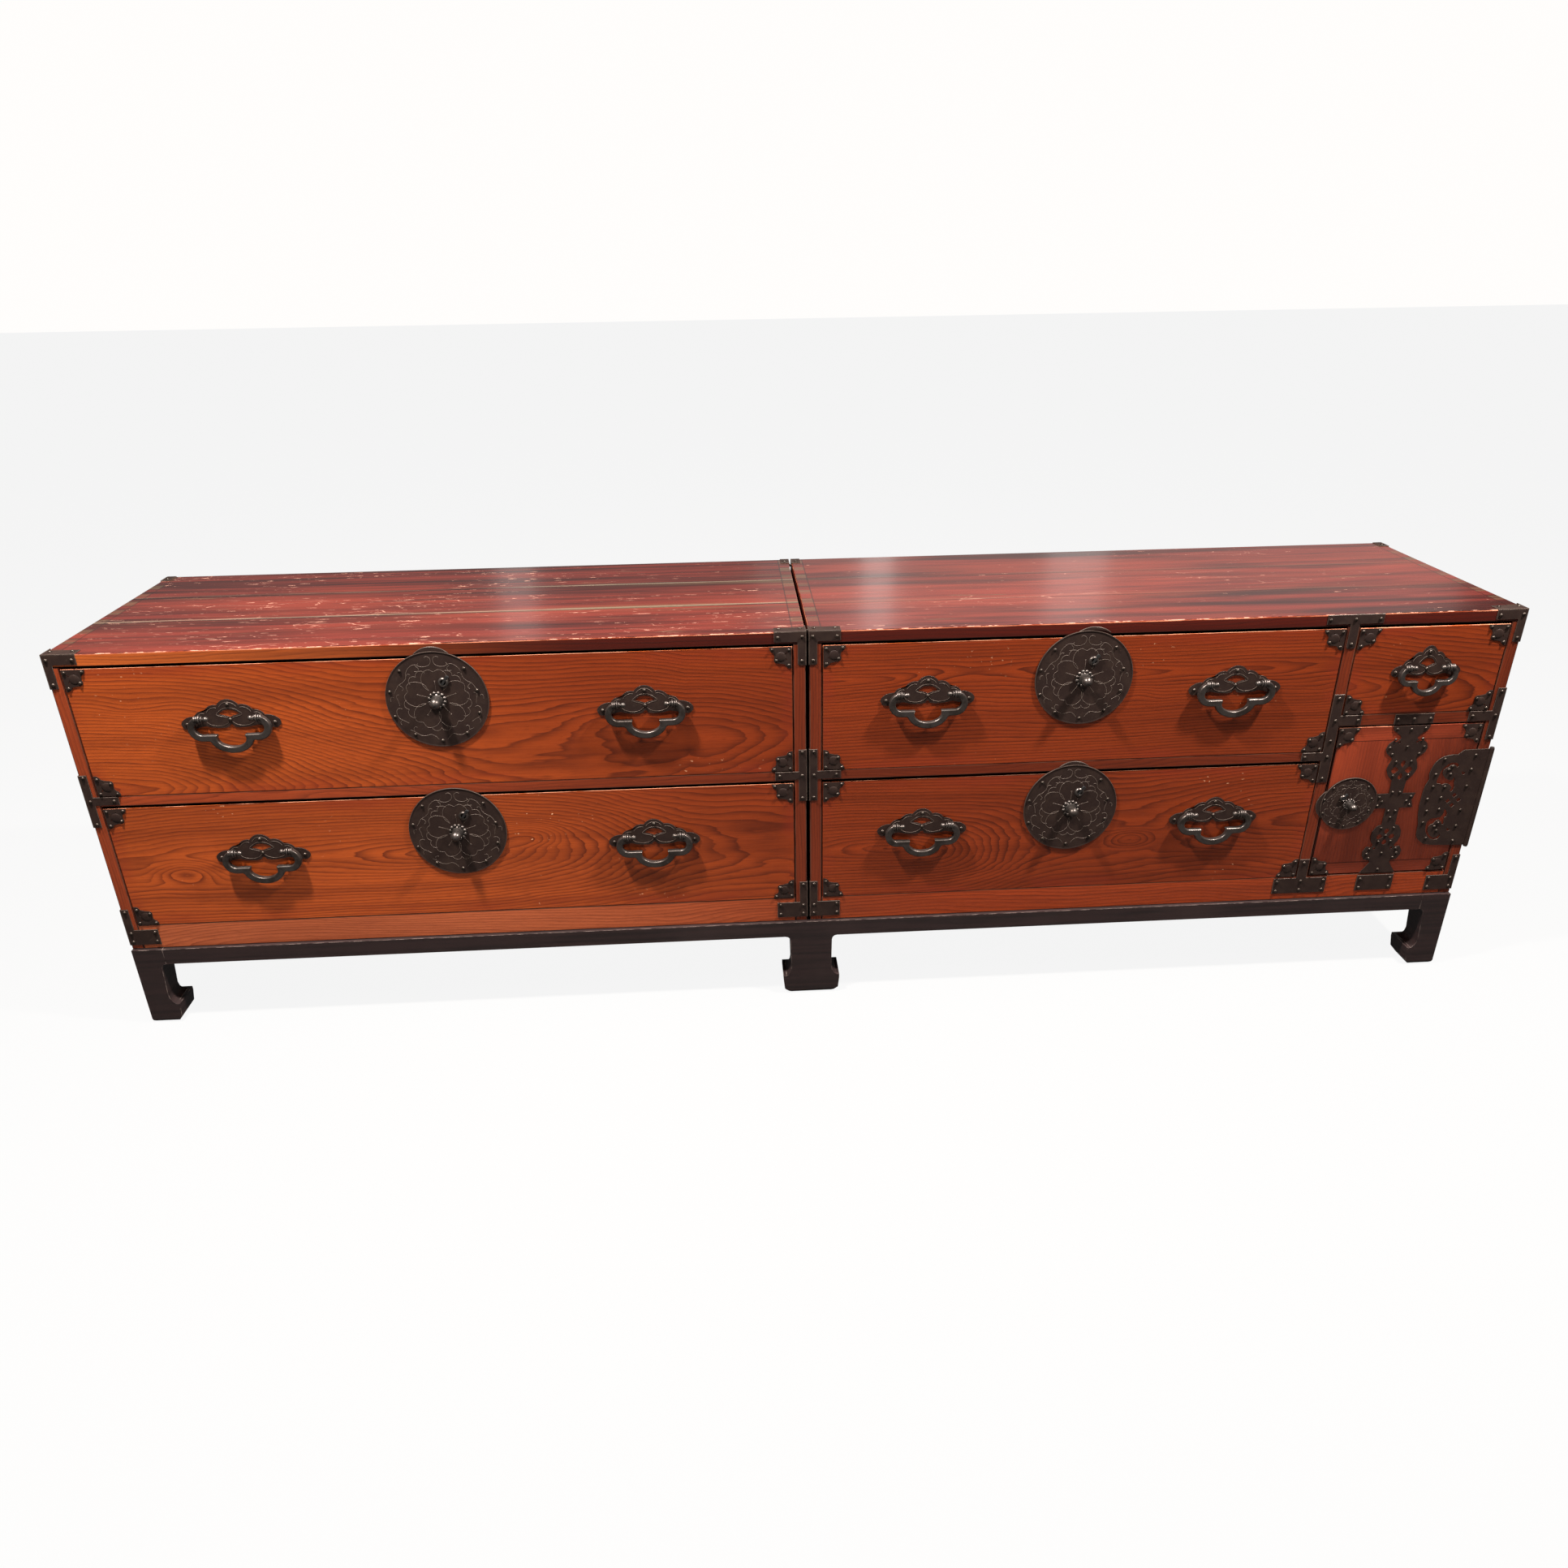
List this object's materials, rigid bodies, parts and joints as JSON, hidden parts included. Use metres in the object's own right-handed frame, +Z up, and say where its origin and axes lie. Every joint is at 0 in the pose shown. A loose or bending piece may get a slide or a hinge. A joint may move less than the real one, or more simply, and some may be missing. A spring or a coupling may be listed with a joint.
{
  "type": "tansu",
  "caption": "Low two-case Japanese clothing chest on a legged stand, with wide iron-mounted drawers, a hinged side door, round lock plates and drop handles",
  "frame": {"origin": "centre of the bounding box in plan, on the floor under the stand's legs", "axes": "+X to the right along the front, +Y from the front to the back, +Z up"},
  "size_m": [2.3546, 0.4788, 0.6863],
  "materials": {
    "keyaki_front": "figured zelkova under clear red-brown lacquer",
    "case_wood": "red-brown lacquered hardwood",
    "top_lacquer": "dark crimson lacquer, worn and scratched",
    "door_wood": "dark red-brown lacquer",
    "inner_wood": "plain light softwood, unfinished",
    "stand_lacquer": "near-black satin lacquer",
    "black_iron": "blackened wrought iron plate, engraved",
    "worn_iron": "forged iron, polished by hands"
  },
  "bodies": {
    "chest": {"stand_long_frame": "stand_lacquer", "stand_left_end": "stand_lacquer", "stand_right_end": "stand_lacquer", "left_case_top": "top_lacquer", "left_case_bottom": "case_wood", "left_case_left_side": "case_wood", "left_case_right_side": "case_wood", "left_case_back": "inner_wood", "left_case_divider": "case_wood", "right_case_top": "top_lacquer", "right_case_bottom": "case_wood", "right_case_left_side": "case_wood", "right_case_right_side": "case_wood", "right_case_back": "inner_wood", "right_case_divider": "case_wood", "right_case_partition": "case_wood", "right_case_small_divider": "case_wood", "case_hinge_leaf": "black_iron", "hinge_pin": "worn_iron"},
    "left_upper_drawer": {"left_upper_drawer_front": "keyaki_front", "left_upper_drawer_box": "inner_wood", "left_upper_lock_plate": "black_iron", "left_upper_left_handle_plate": "black_iron", "left_upper_right_handle_plate": "black_iron"},
    "left_upper_lock": {"left_upper_lock_knob": "worn_iron"},
    "left_upper_left_handle": {"left_upper_left_bail": "worn_iron"},
    "left_upper_right_handle": {"left_upper_right_bail": "worn_iron"},
    "left_lower_drawer": {"left_lower_drawer_front": "keyaki_front", "left_lower_drawer_box": "inner_wood", "left_lower_lock_plate": "black_iron", "left_lower_left_handle_plate": "black_iron", "left_lower_right_handle_plate": "black_iron"},
    "left_lower_lock": {"left_lower_lock_knob": "worn_iron"},
    "left_lower_left_handle": {"left_lower_left_bail": "worn_iron"},
    "left_lower_right_handle": {"left_lower_right_bail": "worn_iron"},
    "right_upper_drawer": {"right_upper_drawer_front": "keyaki_front", "right_upper_drawer_box": "inner_wood", "right_upper_lock_plate": "black_iron", "right_upper_left_handle_plate": "black_iron", "right_upper_right_handle_plate": "black_iron"},
    "right_upper_lock": {"right_upper_lock_knob": "worn_iron"},
    "right_upper_left_handle": {"right_upper_left_bail": "worn_iron"},
    "right_upper_right_handle": {"right_upper_right_bail": "worn_iron"},
    "right_lower_drawer": {"right_lower_drawer_front": "keyaki_front", "right_lower_drawer_box": "inner_wood", "right_lower_lock_plate": "black_iron", "right_lower_left_handle_plate": "black_iron", "right_lower_right_handle_plate": "black_iron"},
    "right_lower_lock": {"right_lower_lock_knob": "worn_iron"},
    "right_lower_left_handle": {"right_lower_left_bail": "worn_iron"},
    "right_lower_right_handle": {"right_lower_right_bail": "worn_iron"},
    "small_drawer": {"small_drawer_front": "keyaki_front", "small_drawer_box": "inner_wood", "small_handle_plate": "black_iron"},
    "small_handle": {"small_bail": "worn_iron"},
    "door": {"door_panel": "door_wood", "door_strap": "black_iron", "door_hinge_leaf": "black_iron", "door_lock_plate": "black_iron"},
    "door_lock": {"door_lock_knob": "worn_iron"}
  },
  "joints": [
    {"name": "left_upper_drawer_slide", "type": "slide", "parent": "chest", "child": "left_upper_drawer", "axis": [0, -1, 0], "range_m": [0, 0.36]},
    {"name": "left_upper_lock_turn", "type": "hinge", "parent": "left_upper_drawer", "child": "left_upper_lock", "pos_m": [-0.59225, -0.21065, 0.5933], "axis": [0, 1, 0], "range_deg": [0, 90]},
    {"name": "left_upper_left_bail_swing", "type": "hinge", "parent": "left_upper_drawer", "child": "left_upper_left_handle", "pos_m": [-0.91825, -0.22015, 0.5763], "axis": [-1, 0, 0], "range_deg": [-3, 172]},
    {"name": "left_upper_right_bail_swing", "type": "hinge", "parent": "left_upper_drawer", "child": "left_upper_right_handle", "pos_m": [-0.26625, -0.22015, 0.5763], "axis": [-1, 0, 0], "range_deg": [-3, 172]},
    {"name": "left_lower_drawer_slide", "type": "slide", "parent": "chest", "child": "left_lower_drawer", "axis": [0, -1, 0], "range_m": [0, 0.36]},
    {"name": "left_lower_lock_turn", "type": "hinge", "parent": "left_lower_drawer", "child": "left_lower_lock", "pos_m": [-0.59225, -0.21065, 0.3573], "axis": [0, 1, 0], "range_deg": [0, 90]},
    {"name": "left_lower_left_bail_swing", "type": "hinge", "parent": "left_lower_drawer", "child": "left_lower_left_handle", "pos_m": [-0.91825, -0.22015, 0.3363], "axis": [-1, 0, 0], "range_deg": [-3, 172]},
    {"name": "left_lower_right_bail_swing", "type": "hinge", "parent": "left_lower_drawer", "child": "left_lower_right_handle", "pos_m": [-0.26625, -0.22015, 0.3363], "axis": [-1, 0, 0], "range_deg": [-3, 172]},
    {"name": "right_upper_drawer_slide", "type": "slide", "parent": "chest", "child": "right_upper_drawer", "axis": [0, -1, 0], "range_m": [0, 0.36]},
    {"name": "right_upper_lock_turn", "type": "hinge", "parent": "right_upper_drawer", "child": "right_upper_lock", "pos_m": [0.44625, -0.21065, 0.5933], "axis": [0, 1, 0], "range_deg": [0, 90]},
    {"name": "right_upper_left_bail_swing", "type": "hinge", "parent": "right_upper_drawer", "child": "right_upper_left_handle", "pos_m": [0.19125, -0.22015, 0.5763], "axis": [-1, 0, 0], "range_deg": [-3, 172]},
    {"name": "right_upper_right_bail_swing", "type": "hinge", "parent": "right_upper_drawer", "child": "right_upper_right_handle", "pos_m": [0.70125, -0.22015, 0.5763], "axis": [-1, 0, 0], "range_deg": [-3, 172]},
    {"name": "right_lower_drawer_slide", "type": "slide", "parent": "chest", "child": "right_lower_drawer", "axis": [0, -1, 0], "range_m": [0, 0.36]},
    {"name": "right_lower_lock_turn", "type": "hinge", "parent": "right_lower_drawer", "child": "right_lower_lock", "pos_m": [0.44625, -0.21065, 0.3573], "axis": [0, 1, 0], "range_deg": [0, 90]},
    {"name": "right_lower_left_bail_swing", "type": "hinge", "parent": "right_lower_drawer", "child": "right_lower_left_handle", "pos_m": [0.19125, -0.22015, 0.3363], "axis": [-1, 0, 0], "range_deg": [-3, 172]},
    {"name": "right_lower_right_bail_swing", "type": "hinge", "parent": "right_lower_drawer", "child": "right_lower_right_handle", "pos_m": [0.70125, -0.22015, 0.3363], "axis": [-1, 0, 0], "range_deg": [-3, 172]},
    {"name": "small_drawer_slide", "type": "slide", "parent": "chest", "child": "small_drawer", "axis": [0, -1, 0], "range_m": [0, 0.36]},
    {"name": "small_bail_swing", "type": "hinge", "parent": "small_drawer", "child": "small_handle", "pos_m": [1.02125, -0.22015, 0.5933], "axis": [-1, 0, 0], "range_deg": [-3, 172]},
    {"name": "door_swing", "type": "hinge", "parent": "chest", "child": "door", "pos_m": [1.17325, -0.21155, 0.3453], "axis": [0, 0, 1], "range_deg": [0, 170]},
    {"name": "door_lock_turn", "type": "hinge", "parent": "door", "child": "door_lock", "pos_m": [0.93975, -0.21065, 0.3433], "axis": [0, 1, 0], "range_deg": [0, 90]}
  ]
}
